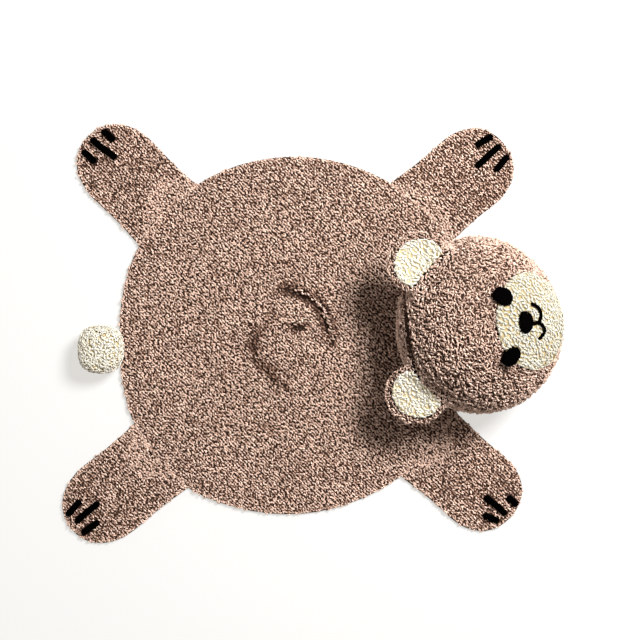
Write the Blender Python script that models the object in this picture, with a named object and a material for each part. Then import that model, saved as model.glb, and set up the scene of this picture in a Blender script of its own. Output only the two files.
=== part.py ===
"""A bear rug crocheted in boucle yarn: a flat round body, four flat paws and a stuffed head.

+X runs from the tail to the snout, +Y towards the bear's left side, +Z up from the floor.
The origin is on the floor, under the middle of the round body. All sizes are in metres.
"""

import math

import bmesh
import bpy
from mathutils import Vector

# The cloth
CLOTH = 0.012  # thickness of the boucle cloth, with its curls
GAP = 0.0003  # left between two pieces that are sewn together
EDGE_PROFILE = (  # how the cloth's edge rounds over, from the floor up
    {"inset": 0.0032, "height": 0.0},
    {"inset": 0.0006, "height": 0.0024},
    {"inset": 0.0, "height": 0.0062},
    {"inset": 0.0010, "height": 0.0098},
    {"inset": 0.0042, "height": CLOTH},
)

# The round body: its edge, as the radius at an angle from the snout's side
BODY_EDGE = (
    {"angle": 0, "radius": 0.395},
    {"angle": 30, "radius": 0.398},
    {"angle": 60, "radius": 0.397},
    {"angle": 90, "radius": 0.400},
    {"angle": 120, "radius": 0.408},
    {"angle": 150, "radius": 0.413},
    {"angle": 180, "radius": 0.405},
    {"angle": 195, "radius": 0.412},
    {"angle": 210, "radius": 0.423},
    {"angle": 235, "radius": 0.424},
    {"angle": 250, "radius": 0.412},
    {"angle": 270, "radius": 0.401},
    {"angle": 290, "radius": 0.392},
    {"angle": 310, "radius": 0.389},
    {"angle": 335, "radius": 0.392},
)
BODY_STEPS = 72
BODY_RINGS = (
    0.93, 0.82, 0.69, 0.56, 0.46, 0.40, 0.36, 0.33, 0.305, 0.285, 0.267,
    0.25, 0.235, 0.221, 0.208, 0.195, 0.182, 0.168, 0.15, 0.12, 0.07,
)
ROUNDS_START = Vector((-0.010, 0.008))  # where the first round lies, in the middle of a bump
BUMP_EDGE = (  # how far the bump reaches, at an angle from the snout's side
    {"angle": 0, "radius": 0.079},
    {"angle": 20, "radius": 0.074},
    {"angle": 40, "radius": 0.078},
    {"angle": 60, "radius": 0.083},
    {"angle": 80, "radius": 0.088},
    {"angle": 107, "radius": 0.100},
    {"angle": 140, "radius": 0.095},
    {"angle": 180, "radius": 0.092},
    {"angle": 205, "radius": 0.100},
    {"angle": 230, "radius": 0.109},
    {"angle": 250, "radius": 0.119},
    {"angle": 268, "radius": 0.125},
    {"angle": 300, "radius": 0.110},
    {"angle": 335, "radius": 0.092},
)
BUMP_HEIGHT = 0.009
BUMP_SLOPE = 0.0035  # half the width of most of its side
BUMP_DIP = 0.85  # how much of its height it loses towards the ripple
RIPPLE_HEIGHT = 0.013  # of the ripple half round the bump, on the head's side
RIPPLE_AWAY = 0.009  # of its crest, from the bump's edge
RIPPLE_INSIDE = 0.009  # its width on the bump's side
RIPPLE_OUTSIDE = 0.034
RIPPLE_HEADING = 43
RIPPLE_WRAP = 0.30  # how far it reaches past a half turn
BELOW_FLOOR = 0.01  # how far a cutter reaches under the rug

# The legs: straight strips with a round paw, sewn to the body's edge
LEGS = (
    {"name": "front_left", "root": 45.1, "reach": 0.4015, "heading": 40.2, "length": 0.227},
    {"name": "front_right", "root": -40.4, "reach": 0.4018, "heading": -41.0, "length": 0.223},
    {"name": "hind_left", "root": 137.7, "reach": 0.4016, "heading": 135.1, "length": 0.251},
    {"name": "hind_right", "root": -139.0, "reach": 0.4164, "heading": -141.1, "length": 0.256},
)
LEG_WIDTHS = (  # along the leg, as shares of its length
    {"share": -0.12, "half": 0.0950},
    {"share": 0.0, "half": 0.0935},
    {"share": 0.22, "half": 0.0905},
    {"share": 0.40, "half": 0.0905},
    {"share": 0.55, "half": 0.0920},
)
TOE_SHARE = 0.55  # from here on the paw is rounded off
TOE_POWER = 2.2  # of the curve that rounds it: an ellipse has 2
LEG_MIDDLE = 0.085  # half width by which an inset outline is narrowed
LEG_SIDE_STEPS = 15
LEG_ROOT_STEPS = 9

# The claws: three flat bars of black yarn on each paw, in the leg's own directions
CLAW_WIDTH = 0.0135
CLAW_HEIGHT = 0.0048
CLAW_PROFILE = (  # shares of its width and of its height
    {"share": 1.0, "height": 0.0},
    {"share": 1.0, "height": 0.55},
    {"share": 0.62, "height": 1.0},
)
CLAW_END_STEPS = 4
CLAWS = (
    {"paw": "front_left", "along": 0.196, "side": 0.032, "length": 0.047, "splay": -10},
    {"paw": "front_left", "along": 0.180, "side": 0.0, "length": 0.075, "splay": 2},
    {"paw": "front_left", "along": 0.193, "side": -0.032, "length": 0.048, "splay": 10},
    {"paw": "front_right", "along": 0.200, "side": 0.028, "length": 0.034, "splay": -1},
    {"paw": "front_right", "along": 0.178, "side": -0.004, "length": 0.066, "splay": 1},
    {"paw": "front_right", "along": 0.189, "side": -0.032, "length": 0.041, "splay": 16},
    {"paw": "hind_left", "along": 0.214, "side": 0.031, "length": 0.043, "splay": 3},
    {"paw": "hind_left", "along": 0.204, "side": -0.004, "length": 0.074, "splay": 8},
    {"paw": "hind_left", "along": 0.217, "side": -0.033, "length": 0.039, "splay": 3},
    {"paw": "hind_right", "along": 0.218, "side": 0.025, "length": 0.050, "splay": -3},
    {"paw": "hind_right", "along": 0.202, "side": -0.006, "length": 0.071, "splay": 1},
    {"paw": "hind_right", "along": 0.220, "side": -0.032, "length": 0.049, "splay": 10},
)

# The head: a stuffed ball, squashed by its own weight, with a flat spot under it
HEAD_MIDDLE = Vector((0.382, 0.0245, 0.118))  # at its widest level
HEAD_SEMI_LENGTH = 0.179
HEAD_SEMI_WIDTH = 0.195
HEAD_EDGE = (  # how much of that it reaches in a direction from its middle
    {"heading": 0, "share": 0.995},
    {"heading": 30, "share": 0.955},
    {"heading": 60, "share": 0.955},
    {"heading": 90, "share": 0.970},
    {"heading": 120, "share": 0.985},
    {"heading": 150, "share": 0.990},
    {"heading": 180, "share": 0.985},
    {"heading": 210, "share": 0.990},
    {"heading": 240, "share": 0.985},
    {"heading": 270, "share": 0.975},
    {"heading": 300, "share": 0.990},
    {"heading": 330, "share": 1.005},
)
HEAD_RISE = 0.152
HEAD_DROP = 0.135
HEAD_STEPS = 44
HEAD_RINGS = 19
NECK_FOLD_TILT = 65  # of the fold at the nape, from straight up
NECK_FOLD_FROM = 157  # and where round the head it starts and ends
NECK_FOLD_TO = 217
NECK_FOLD_RADIUS = 0.0058
NECK_FOLD_RAISE = 0.3  # of that radius, from the surface to the middle of the groove
NECK_FOLD_ENDS = 0.45  # of that radius, at its ends
NECK_FOLD_STEPS = 12

# The face: a cream patch on the head, seen from above, its eyes half on its upper edge
FACE_TILT = 36  # of the face's axis, from straight up towards the snout
FACE_TURN = 6  # of the face towards the bear's left
FACE_UNIT = 0.18  # the head's mean radius, which turns places on the face into angles
SEAT_DEPTH = 0.002  # how deep a sewn-on piece starts, before it is cut to what carries it
MUZZLE_SEMI_WIDTH = 0.0935
MUZZLE_SEMI_HEIGHT = 0.0965
MUZZLE_HEIGHT = 0.005
MUZZLE_PROFILE = (  # from its inside out
    {"share": 0.5, "lift": -SEAT_DEPTH},
    {"share": 1.0, "lift": -SEAT_DEPTH},
    {"share": 1.0, "lift": 0.0014},
    {"share": 0.98, "lift": 0.0038},
    {"share": 0.93, "lift": MUZZLE_HEIGHT},
    {"share": 0.70, "lift": MUZZLE_HEIGHT},
    {"share": 0.47, "lift": MUZZLE_HEIGHT},
    {"share": 0.23, "lift": MUZZLE_HEIGHT},
)
MUZZLE_STEPS = 28
BUTTONS = (  # the eyes and the nose: places and half sizes on the face, the flat side's heading
    {"name": "eye_left", "side": 0.050, "up": 0.0745, "wide": 0.0178, "tall": 0.0180,
     "flat": 0, "flatness": 0.02, "height": 0.0050},
    {"name": "eye_right", "side": -0.0605, "up": 0.0690, "wide": 0.0182, "tall": 0.0172,
     "flat": 35, "flatness": 0.24, "height": 0.0050},
    {"name": "nose", "side": -0.003, "up": 0.0400, "wide": 0.0205, "tall": 0.0158,
     "flat": 205, "flatness": 0.16, "height": 0.0062},
)
BUTTON_PROFILE = (  # shares of its half sizes, and how far below its top
    {"share": 1.0, "below": 0.0030},
    {"share": 0.9, "below": 0.0010},
    {"share": 0.55, "below": 0.0},
)
BUTTON_STEPS = 20
MOUTH_RADIUS = 0.0042
MOUTH_LIFT = 0.0062
STRAND_SIDES = 8
MOUTH_STEPS = 2  # between two rows of a route
MOUTH_CURVE = (
    {"side": 0.0290, "up": 0.0200},
    {"side": 0.0240, "up": 0.0095},
    {"side": 0.0155, "up": 0.0020},
    {"side": 0.0050, "up": 0.0020},
    {"side": -0.0065, "up": 0.0075},
    {"side": -0.0190, "up": -0.0050},
    {"side": -0.0280, "up": -0.0010},
    {"side": -0.0350, "up": 0.0090},
)
MOUTH_STEM = (
    {"side": -0.0063, "up": 0.0238},
    {"side": -0.0063, "up": 0.0150},
    {"side": -0.0065, "up": 0.0060},
)

# The ears: round cups that droop a little, sewn to the back of the head
EAR_BACK = {"left": -0.133, "right": -0.136}  # of the ear's middle, from the head's
EAR_ASIDE = {"left": 0.128, "right": -0.146}
EAR_LEVEL = {"left": 0.171, "right": 0.147}  # the right one hangs lower
EAR_HEADING = {"left": 135, "right": -134}
EAR_DROOP = 22
EAR_RADIUS = 0.067
EAR_THICKNESS = 0.013
EAR_PROFILE = (  # shares of its radius and of half its thickness
    {"share": 0.30, "level": 1.0},
    {"share": 0.70, "level": 1.0},
    {"share": 0.93, "level": 0.85},
)
EAR_CUP = 0.007  # rise of its rim over its middle
EAR_STEPS = 32
EAR_INNER_RADIUS = 0.0525
EAR_INNER_HEIGHT = 0.004
EAR_INNER_PROFILE = (  # shares of its radius, and levels off the ear's middle
    {"share": 0.30, "level": EAR_THICKNESS * 0.25},
    {"share": 1.00, "level": EAR_THICKNESS * 0.25},
    {"share": 1.00, "level": EAR_THICKNESS / 2 + EAR_INNER_HEIGHT - 0.0015},
    {"share": 0.93, "level": EAR_THICKNESS / 2 + EAR_INNER_HEIGHT},
    {"share": 0.30, "level": EAR_THICKNESS / 2 + EAR_INNER_HEIGHT},
)
EAR_INNER_STEPS = 27
EAR_INNER_BACK = 0.006  # the cream disc lies nearer the head than the ear's middle
EAR_INNER_SIDES = {  # its straight side, along the head: a place on it and the way it runs
    "left": {"x": 0.271, "y": 0.1440, "heading": 49},
    "right": {"x": 0.275, "y": -0.1140, "heading": -47},
}
EAR_INNER_SIDE_REACH = 0.1  # of the cutter for it
EAR_INNER_SIDE_LEVELS = (0.05, 0.3)

# The tail: a small stuffed knob against the body's edge
TAIL_MIDDLE = Vector((-0.4390, -0.0305, 0.039))
TAIL_SEMI = Vector((0.0470, 0.0515, 0.044))
TAIL_POWER = 2.7  # of its form, a little squarer than a ball
TAIL_KNOBS = 80
TAIL_KNOB_HEIGHT = 0.0030
TAIL_KNOB_ANGLE = 13  # from a knob's middle to its foot, seen from the ball's middle
TAIL_DIVISIONS = 4  # of the ball's faces


def plane_direction(degrees):
    """The level unit vector at an angle from +X."""
    return Vector((math.cos(math.radians(degrees)), math.sin(math.radians(degrees)), 0))


def ball_direction(tilt, heading):
    """The unit vector at a tilt from straight up, towards a heading."""
    level = plane_direction(heading) * math.sin(math.radians(tilt))
    return level + Vector((0, 0, math.cos(math.radians(tilt))))


def smooth_between(rows, place, size, at, period=None):
    """The value of a table's column at a place, on a smooth curve through its rows."""
    points = [(row[place], row[size]) for row in rows]
    if period:
        at = at % period
        before = [(x - period, y) for x, y in points[-2:]]
        after = [(x + period, y) for x, y in points[:2]]
        points = before + points + after
    index = 0
    while index < len(points) - 2 and at > points[index + 1][0]:
        index += 1
    (x0, y0), (x1, y1) = points[index], points[index + 1]
    xa, ya = points[max(index - 1, 0)]
    xb, yb = points[min(index + 2, len(points) - 1)]
    slope0 = (y1 - ya) / (x1 - xa)
    slope1 = (yb - y0) / (xb - x0)
    span = x1 - x0
    t = min(max((at - x0) / span, 0.0), 1.0)
    curve = (2 * t**3 - 3 * t**2 + 1) * y0 + (t**3 - 2 * t**2 + t) * span * slope0
    return curve + (3 * t**2 - 2 * t**3) * y1 + (t**3 - t**2) * span * slope1


def yarn(name, colour, roughness=0.95):
    """A matt yarn material."""
    material = bpy.data.materials.new(name)
    material.use_nodes = True
    shader = material.node_tree.nodes["Principled BSDF"]
    shader.inputs["Base Color"].default_value = (*colour, 1.0)
    shader.inputs["Roughness"].default_value = roughness
    shader.inputs["Metallic"].default_value = 0.0
    return material


def add_object(name, mesh, colour=None):
    """An object of the rug, or a hidden cutter where it has no colour."""
    piece = bpy.data.objects.new(name, mesh)
    bpy.context.scene.collection.objects.link(piece)
    if colour is None:
        piece.hide_render = True
        piece.display_type = "WIRE"
        return piece
    mesh.materials.append(yarn(name, colour))
    mesh.shade_smooth()
    return piece


def closed_mesh(name, rings, start=None, end=None):
    """A closed mesh through rings of points. Each end is a point, or flat where none is given."""
    shape = bmesh.new()
    loops = [[shape.verts.new(point) for point in ring] for ring in rings]
    count = len(loops[0])
    for lower, upper in zip(loops, loops[1:]):
        for i in range(count):
            j = (i + 1) % count
            shape.faces.new((lower[i], lower[j], upper[j]))
            shape.faces.new((lower[i], upper[j], upper[i]))
    for loop, tip in ((loops[0], start), (loops[-1], end)):
        if tip is None:
            shape.faces.new(loop)
            continue
        middle = shape.verts.new(tip)
        for i in range(count):
            shape.faces.new((loop[i], loop[(i + 1) % count], middle))
    bmesh.ops.recalc_face_normals(shape, faces=shape.faces)
    mesh = bpy.data.meshes.new(name)
    shape.to_mesh(mesh)
    shape.free()
    return mesh


def cut(piece, *cutters, operation="DIFFERENCE"):
    """Cuts a piece by others, or joins them to it."""
    for cutter in cutters:
        boolean = piece.modifiers.new(cutter.name, "BOOLEAN")
        boolean.operation = operation
        boolean.solver = "EXACT"
        boolean.object = cutter


# Cloth that lies flat


def body_radius(degrees):
    """The body's edge, in a direction from its middle."""
    return smooth_between(BODY_EDGE, "angle", "radius", degrees, period=360)


def body_relief(point):
    """How far the bump at the start of the rounds, and the ripple round it, lift the cloth."""
    offset = point.to_2d() - ROUNDS_START
    if offset.length < 1e-6:
        return BUMP_HEIGHT
    angle = math.degrees(math.atan2(offset.y, offset.x))
    edge = smooth_between(BUMP_EDGE, "angle", "radius", angle, period=360)
    facing = offset.normalized().dot(plane_direction(RIPPLE_HEADING).to_2d())
    side = math.sqrt(max(0.0, facing + RIPPLE_WRAP) / (1 + RIPPLE_WRAP))
    bump = BUMP_HEIGHT / (1 + math.exp(min(40, (offset.length - edge) / BUMP_SLOPE)))
    dip = side * min(max((offset.length / edge - 0.25) / 0.6, 0.0), 1.0) ** 2
    past = offset.length - edge - RIPPLE_AWAY
    width = RIPPLE_INSIDE if past < 0 else RIPPLE_OUTSIDE
    ripple = side * RIPPLE_HEIGHT * math.exp(-((past / width) ** 2))
    return bump * (1 - BUMP_DIP * dip) + ripple


def body_rings(clearance):
    """The body's edge from the floor up, and then its top as rings towards its middle."""
    angles = [360 * i / BODY_STEPS for i in range(BODY_STEPS)]
    rings = []
    for row in EDGE_PROFILE:
        radii = [body_radius(angle) - row["inset"] + clearance for angle in angles]
        height = row["height"] + (clearance if row["height"] == CLOTH else 0.0)
        rings.append([plane_direction(a) * r + Vector((0, 0, height)) for a, r in zip(angles, radii)])
    middle = ROUNDS_START.to_3d()
    for share in BODY_RINGS:
        ring = []
        for angle in angles:
            edge = plane_direction(angle) * body_radius(angle)
            point = middle.lerp(edge, share)
            point.z = CLOTH + clearance + body_relief(point)
            ring.append(point)
        rings.append(ring)
    top = middle + Vector((0, 0, CLOTH + clearance + body_relief(middle)))
    return rings, top


def make_body(brown):
    """The round body. Returns the cutter that fits the pieces lying on it or against it."""
    rings, top = body_rings(0.0)
    add_object("body", closed_mesh("body", rings, end=top), brown)
    rings, top = body_rings(GAP)
    below = [Vector((point.x, point.y, -BELOW_FLOOR)) for point in rings[2]]
    return add_object("body_room", closed_mesh("body_room", [below] + rings[2:], end=top))


def leg_axes(leg):
    """The point where a leg starts, its direction and the direction to its left."""
    start = plane_direction(leg["root"]) * leg["reach"]
    return start, plane_direction(leg["heading"]), plane_direction(leg["heading"] + 90)


def leg_half_width(share):
    """Half the leg's width at a share of its length."""
    if share <= TOE_SHARE:
        return smooth_between(LEG_WIDTHS, "share", "half", share)
    toe = (share - TOE_SHARE) / (1 - TOE_SHARE)
    return LEG_WIDTHS[-1]["half"] * max(0.0, 1 - toe**TOE_POWER) ** (1 / TOE_POWER)


def along_at_body(leg, side):
    """How far along a leg its cloth meets the body's edge, at a distance to its side."""
    start, ahead, left = leg_axes(leg)
    low, high = -0.06, 0.06
    for _ in range(40):
        along = (low + high) / 2
        point = start + ahead * along + left * side
        edge = body_radius(math.degrees(math.atan2(point.y, point.x))) + GAP
        if point.length < edge:
            low = along
        else:
            high = along
    return high


def leg_outline(leg, inset, height):
    """The leg's outline from its left root round the paw to the right root and back."""
    start, ahead, left = leg_axes(leg)
    narrow = 1 - inset / LEG_MIDDLE
    length = leg["length"]
    places = []
    for hand in (1, -1):
        root = along_at_body(leg, hand * LEG_WIDTHS[1]["half"] * narrow)
        sides = []
        for i in range(LEG_SIDE_STEPS):
            share = math.sin(math.pi / 2 * i / LEG_SIDE_STEPS)
            along = root + (length - root) * share
            sides.append((along * (1 - inset / length), hand * leg_half_width(along / length) * narrow))
        sides[0] = (along_at_body(leg, sides[0][1]), sides[0][1])
        places.append(sides)
    left_side, right_side = places
    outline = left_side + [(length - inset, 0.0)] + right_side[::-1]
    first, last = right_side[0][1], left_side[0][1]
    for i in range(1, LEG_ROOT_STEPS):
        side = first + (last - first) * i / LEG_ROOT_STEPS
        outline.append((along_at_body(leg, side), side))
    return [start + ahead * along + left * side + Vector((0, 0, height)) for along, side in outline]


def make_leg(leg, brown):
    """One leg, flat on the floor."""
    rings = [leg_outline(leg, row["inset"], row["height"]) for row in EDGE_PROFILE]
    name = "leg_" + leg["name"]
    add_object(name, closed_mesh(name, rings), brown)


def make_claw(claw, number, black):
    """One claw, a flat bar with round ends and a soft top."""
    leg = next(leg for leg in LEGS if leg["name"] == claw["paw"])
    start, ahead, left = leg_axes(leg)
    middle = start + ahead * claw["along"] + left * claw["side"]
    heading = leg["heading"] + claw["splay"]
    run = claw["length"] / 2 - CLAW_WIDTH / 2
    rings = []
    for row in CLAW_PROFILE:
        level = Vector((0, 0, CLOTH + GAP + CLAW_HEIGHT * row["height"]))
        ring = []
        for end, turn in ((1, -90), (-1, 90)):
            for i in range(CLAW_END_STEPS + 1):
                round_end = plane_direction(heading + turn + 180 * i / CLAW_END_STEPS)
                centre = middle + plane_direction(heading) * (run * end)
                ring.append(centre + round_end * (CLAW_WIDTH / 2 * row["share"]) + level)
        rings.append(ring)
    name = "claw_{}_{}".format(claw["paw"], number)
    add_object(name, closed_mesh(name, rings), black)


# The head and what is sewn to it


def head_point(direction, lift=0.0):
    """The point of the head's ball in a direction from its middle, lifted off its surface."""
    heading = math.degrees(math.atan2(direction.y, direction.x))
    edge = smooth_between(HEAD_EDGE, "heading", "share", heading, period=360)
    height = HEAD_RISE if direction.z > 0 else HEAD_DROP
    semi = Vector((HEAD_SEMI_LENGTH * edge, HEAD_SEMI_WIDTH * edge, height))
    outward = Vector((direction.x / semi.x, direction.y / semi.y, direction.z / semi.z)).normalized()
    return HEAD_MIDDLE + direction * semi + outward * lift


def head_rings(lift):
    """The ball as level rings, from its flat spot on the floor to just under its top."""
    lowest = 180 - math.degrees(math.acos(HEAD_MIDDLE.z / HEAD_DROP))
    rings = []
    for i in range(HEAD_RINGS):
        tilt = lowest * (1 - i / HEAD_RINGS)
        angles = [360 * j / HEAD_STEPS for j in range(HEAD_STEPS)]
        rings.append([head_point(ball_direction(tilt, angle), lift) for angle in angles])
    rings[0] = [Vector((point.x, point.y, 0)) for point in rings[0]]
    return rings, head_point(Vector((0, 0, 1)), lift)


def tube_rings(route, radii, sides):
    """Rings across a route of points, each of its own radius."""
    rings = []
    for i, point in enumerate(route):
        ahead = (route[min(i + 1, len(route) - 1)] - route[max(i - 1, 0)]).normalized()
        outward = (point - HEAD_MIDDLE).normalized()
        across = ahead.cross(outward).normalized()
        upward = across.cross(ahead)
        turns = [2 * math.pi * (k + 0.5) / sides for k in range(sides)]
        rings.append([point + (across * math.cos(t) + upward * math.sin(t)) * radii[i] for t in turns])
    return rings


def make_head(brown, body_room):
    """The head, seated on the body and the floor. Returns the cutter that fits pieces to it."""
    rings, top = head_rings(0.0)
    head = add_object("head", closed_mesh("head", rings, end=top), brown)
    rings, top = head_rings(GAP)
    room = add_object("head_room", closed_mesh("head_room", rings, end=top))
    route = []
    radii = []
    for i in range(NECK_FOLD_STEPS + 1):
        share = i / NECK_FOLD_STEPS
        heading = NECK_FOLD_FROM + (NECK_FOLD_TO - NECK_FOLD_FROM) * share
        lift = NECK_FOLD_RADIUS * NECK_FOLD_RAISE
        route.append(head_point(ball_direction(NECK_FOLD_TILT, heading), lift))
        fullness = NECK_FOLD_ENDS + (1 - NECK_FOLD_ENDS) * math.sin(math.pi * share)
        radii.append(NECK_FOLD_RADIUS * fullness)
    fold = closed_mesh("neck_fold", tube_rings(route, radii, STRAND_SIDES))
    cut(head, body_room, add_object("neck_fold", fold))
    return room


def face_direction(side, up):
    """The direction of a place on the face, given in metres from the middle of the patch."""
    axis = ball_direction(FACE_TILT, FACE_TURN)
    leftward = plane_direction(FACE_TURN + 90)
    upward = ball_direction(FACE_TILT - 90, FACE_TURN)
    s, u = side / FACE_UNIT, up / FACE_UNIT
    return axis * math.sqrt(1 - s * s - u * u) + leftward * s + upward * u


def muzzle_rings(clearance):
    """The patch as rings, from its inner side over its edge to the middle of its outer side."""
    rings = []
    for row in MUZZLE_PROFILE:
        ring = []
        for i in range(MUZZLE_STEPS):
            turn = 2 * math.pi * i / MUZZLE_STEPS
            side = (MUZZLE_SEMI_WIDTH * row["share"] + clearance) * math.cos(turn)
            up = (MUZZLE_SEMI_HEIGHT * row["share"] + clearance) * math.sin(turn)
            direction = face_direction(side, up)
            lift = row["lift"] + (clearance if row["lift"] > 0 else 0.0)
            ring.append(head_point(direction, lift))
        rings.append(ring)
    axis = face_direction(0, 0)
    inside = head_point(axis, MUZZLE_PROFILE[0]["lift"])
    return rings, inside, head_point(axis, MUZZLE_HEIGHT + clearance)


def make_muzzle(cream, head_room):
    """The cream patch of the face. Returns the cutter that fits the pieces sewn on it."""
    rings, inside, outside = muzzle_rings(0.0)
    muzzle = add_object("muzzle", closed_mesh("muzzle", rings, inside, outside), cream)
    cut(muzzle, head_room)
    rings, inside, outside = muzzle_rings(GAP)
    return add_object("muzzle_room", closed_mesh("muzzle_room", rings, inside, outside))


def make_button(button, black, rooms):
    """An eye or the nose: a low dome of black yarn that follows what lies under it."""
    top = MUZZLE_HEIGHT + button["height"]
    inner = BUTTON_PROFILE[-1]["share"]
    levels = [(inner, -SEAT_DEPTH), (1.0, -SEAT_DEPTH)]
    levels += [(row["share"], top - row["below"]) for row in BUTTON_PROFILE]
    rings = []
    for share, lift in levels:
        ring = []
        for i in range(BUTTON_STEPS):
            turn = 360 * i / BUTTON_STEPS
            facing = math.cos(math.radians(turn - button["flat"]))
            radius = share * (1 - button["flatness"] * max(0.0, facing) ** 3)
            side = button["side"] + button["wide"] * radius * math.cos(math.radians(turn))
            up = button["up"] + button["tall"] * radius * math.sin(math.radians(turn))
            ring.append(head_point(face_direction(side, up), lift))
        rings.append(ring)
    middle = face_direction(button["side"], button["up"])
    ends = head_point(middle, -SEAT_DEPTH), head_point(middle, top)
    piece = add_object(button["name"], closed_mesh(button["name"], rings, *ends), black)
    cut(piece, *rooms)


def mouth_tube(name, rows, colour=None):
    """A strand of yarn laid on the patch along a route."""
    steps = (len(rows) - 1) * MOUTH_STEPS
    numbered = [{"at": i, **row} for i, row in enumerate(rows)]
    route = []
    for i in range(steps + 1):
        at = i / MOUTH_STEPS
        side = smooth_between(numbered, "at", "side", at)
        up = smooth_between(numbered, "at", "up", at)
        route.append(head_point(face_direction(side, up), MOUTH_LIFT))
    radii = [MOUTH_RADIUS] * len(route)
    return add_object(name, closed_mesh(name, tube_rings(route, radii, STRAND_SIDES)), colour)


def make_mouth(black, muzzle_room):
    """The mouth: two stitched curves that meet under the nose, and the stem between."""
    mouth = mouth_tube("mouth", MOUTH_CURVE, black)
    cut(mouth, mouth_tube("mouth_stem", MOUTH_STEM), operation="UNION")
    cut(mouth, muzzle_room)


def ear_rings(hand, radius, back, levels, steps):
    """A cupped disc as rings, at shares of its radius and levels off the ear's middle."""
    heading = EAR_HEADING[hand]
    outward = ball_direction(90 + EAR_DROOP, heading)
    across = plane_direction(heading + 90)
    upward = outward.cross(across)
    place = Vector((EAR_BACK[hand], EAR_ASIDE[hand], 0))
    middle = Vector((HEAD_MIDDLE.x, HEAD_MIDDLE.y, EAR_LEVEL[hand])) + place
    rings = []
    for share, level in levels:
        ring = []
        for i in range(steps):
            turn = 2 * math.pi * i / steps
            out = share * radius * math.cos(turn) - back
            aside = share * radius * math.sin(turn)
            cup = EAR_CUP * (out * out + aside * aside) / EAR_RADIUS**2
            ring.append(middle + outward * out + across * aside + upward * (level + cup))
        rings.append(ring)
    return rings


def ear_levels(clearance):
    """The shares and levels of the ear's rings, from under its middle over its rim to the top."""
    half = EAR_THICKNESS / 2
    over = [(row["share"], half * row["level"] + clearance) for row in EAR_PROFILE]
    under = [(share, -level) for share, level in over]
    return under + [(1 + clearance / EAR_RADIUS, 0.0)] + over[::-1]


def make_ear(hand, brown, cream, head_room):
    """One ear: a brown cupped disc, with a cream disc inside it."""
    name = "ear_" + hand
    rings = ear_rings(hand, EAR_RADIUS, 0, ear_levels(0.0), EAR_STEPS)
    ear = add_object(name, closed_mesh(name, rings), brown)
    cut(ear, head_room)
    rings = ear_rings(hand, EAR_RADIUS, 0, ear_levels(GAP), EAR_STEPS)
    ear_room = add_object(name + "_room", closed_mesh(name + "_room", rings))
    name = "ear_inner_" + hand
    levels = [(row["share"], row["level"]) for row in EAR_INNER_PROFILE]
    rings = ear_rings(hand, EAR_INNER_RADIUS, EAR_INNER_BACK, levels, EAR_INNER_STEPS)
    inner = add_object(name, closed_mesh(name, rings), cream)
    side = EAR_INNER_SIDES[hand]
    along = plane_direction(side["heading"])
    inward = plane_direction(side["heading"] + (-90 if hand == "left" else 90))
    place = Vector((side["x"], side["y"], 0))
    reach = EAR_INNER_SIDE_REACH
    shares = ((-reach, 0), (reach, 0), (reach, reach), (-reach, reach))
    corners = [place + along * a + inward * b for a, b in shares]
    slab = [[corner + Vector((0, 0, level)) for corner in corners] for level in EAR_INNER_SIDE_LEVELS]
    head_side = add_object(name + "_side", closed_mesh(name + "_side", slab))
    cut(inner, ear_room, head_room, head_side)


def make_tail(cream, body_room):
    """The tail: a ball with a knobbly surface, flat on the floor and against the body."""
    knobs = []
    for i in range(TAIL_KNOBS):
        height = 1 - 2 * (i + 0.5) / TAIL_KNOBS
        turn = i * math.pi * (3 - math.sqrt(5))
        level = math.sqrt(1 - height * height)
        knobs.append(Vector((level * math.cos(turn), level * math.sin(turn), height)))
    shape = bmesh.new()
    bmesh.ops.create_icosphere(shape, subdivisions=TAIL_DIVISIONS, radius=1.0)
    for vertex in shape.verts:
        direction = vertex.co.normalized()
        nearest = min(direction.angle(knob) for knob in knobs)
        knob = max(0.0, math.cos(min(nearest / math.radians(TAIL_KNOB_ANGLE), 1) * math.pi / 2))
        square = sum(abs(share) ** TAIL_POWER for share in direction) ** (-1 / TAIL_POWER)
        point = TAIL_MIDDLE + direction * TAIL_SEMI * square + direction * (TAIL_KNOB_HEIGHT * knob)
        vertex.co = Vector((point.x, point.y, max(point.z, 0.0)))
    mesh = bpy.data.meshes.new("tail")
    shape.to_mesh(mesh)
    shape.free()
    tail = add_object("tail", mesh, cream)
    cut(tail, body_room)


def make_rug():
    """The whole rug, in the order in which it is sewn together."""
    brown = (0.397, 0.258, 0.195)
    cream = (0.863, 0.799, 0.651)
    black = (0.008, 0.007, 0.007)
    for old in list(bpy.data.objects):
        bpy.data.objects.remove(old, do_unlink=True)
    body_room = make_body(brown)
    for leg in LEGS:
        make_leg(leg, brown)
        paw = [claw for claw in CLAWS if claw["paw"] == leg["name"]]
        for number, claw in enumerate(paw, start=1):
            make_claw(claw, number, black)
    make_tail(cream, body_room)
    head_room = make_head(brown, body_room)
    muzzle_room = make_muzzle(cream, head_room)
    for button in BUTTONS:
        make_button(button, black, (head_room, muzzle_room))
    make_mouth(black, muzzle_room)
    for hand in ("left", "right"):
        make_ear(hand, brown, cream, head_room)


make_rug()
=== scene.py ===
"""The looks of a bear rug crocheted in curly boucle yarn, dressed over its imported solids."""

import math

import bmesh
import bpy
import numpy as np
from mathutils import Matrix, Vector
from mathutils.bvhtree import BVHTree


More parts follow.
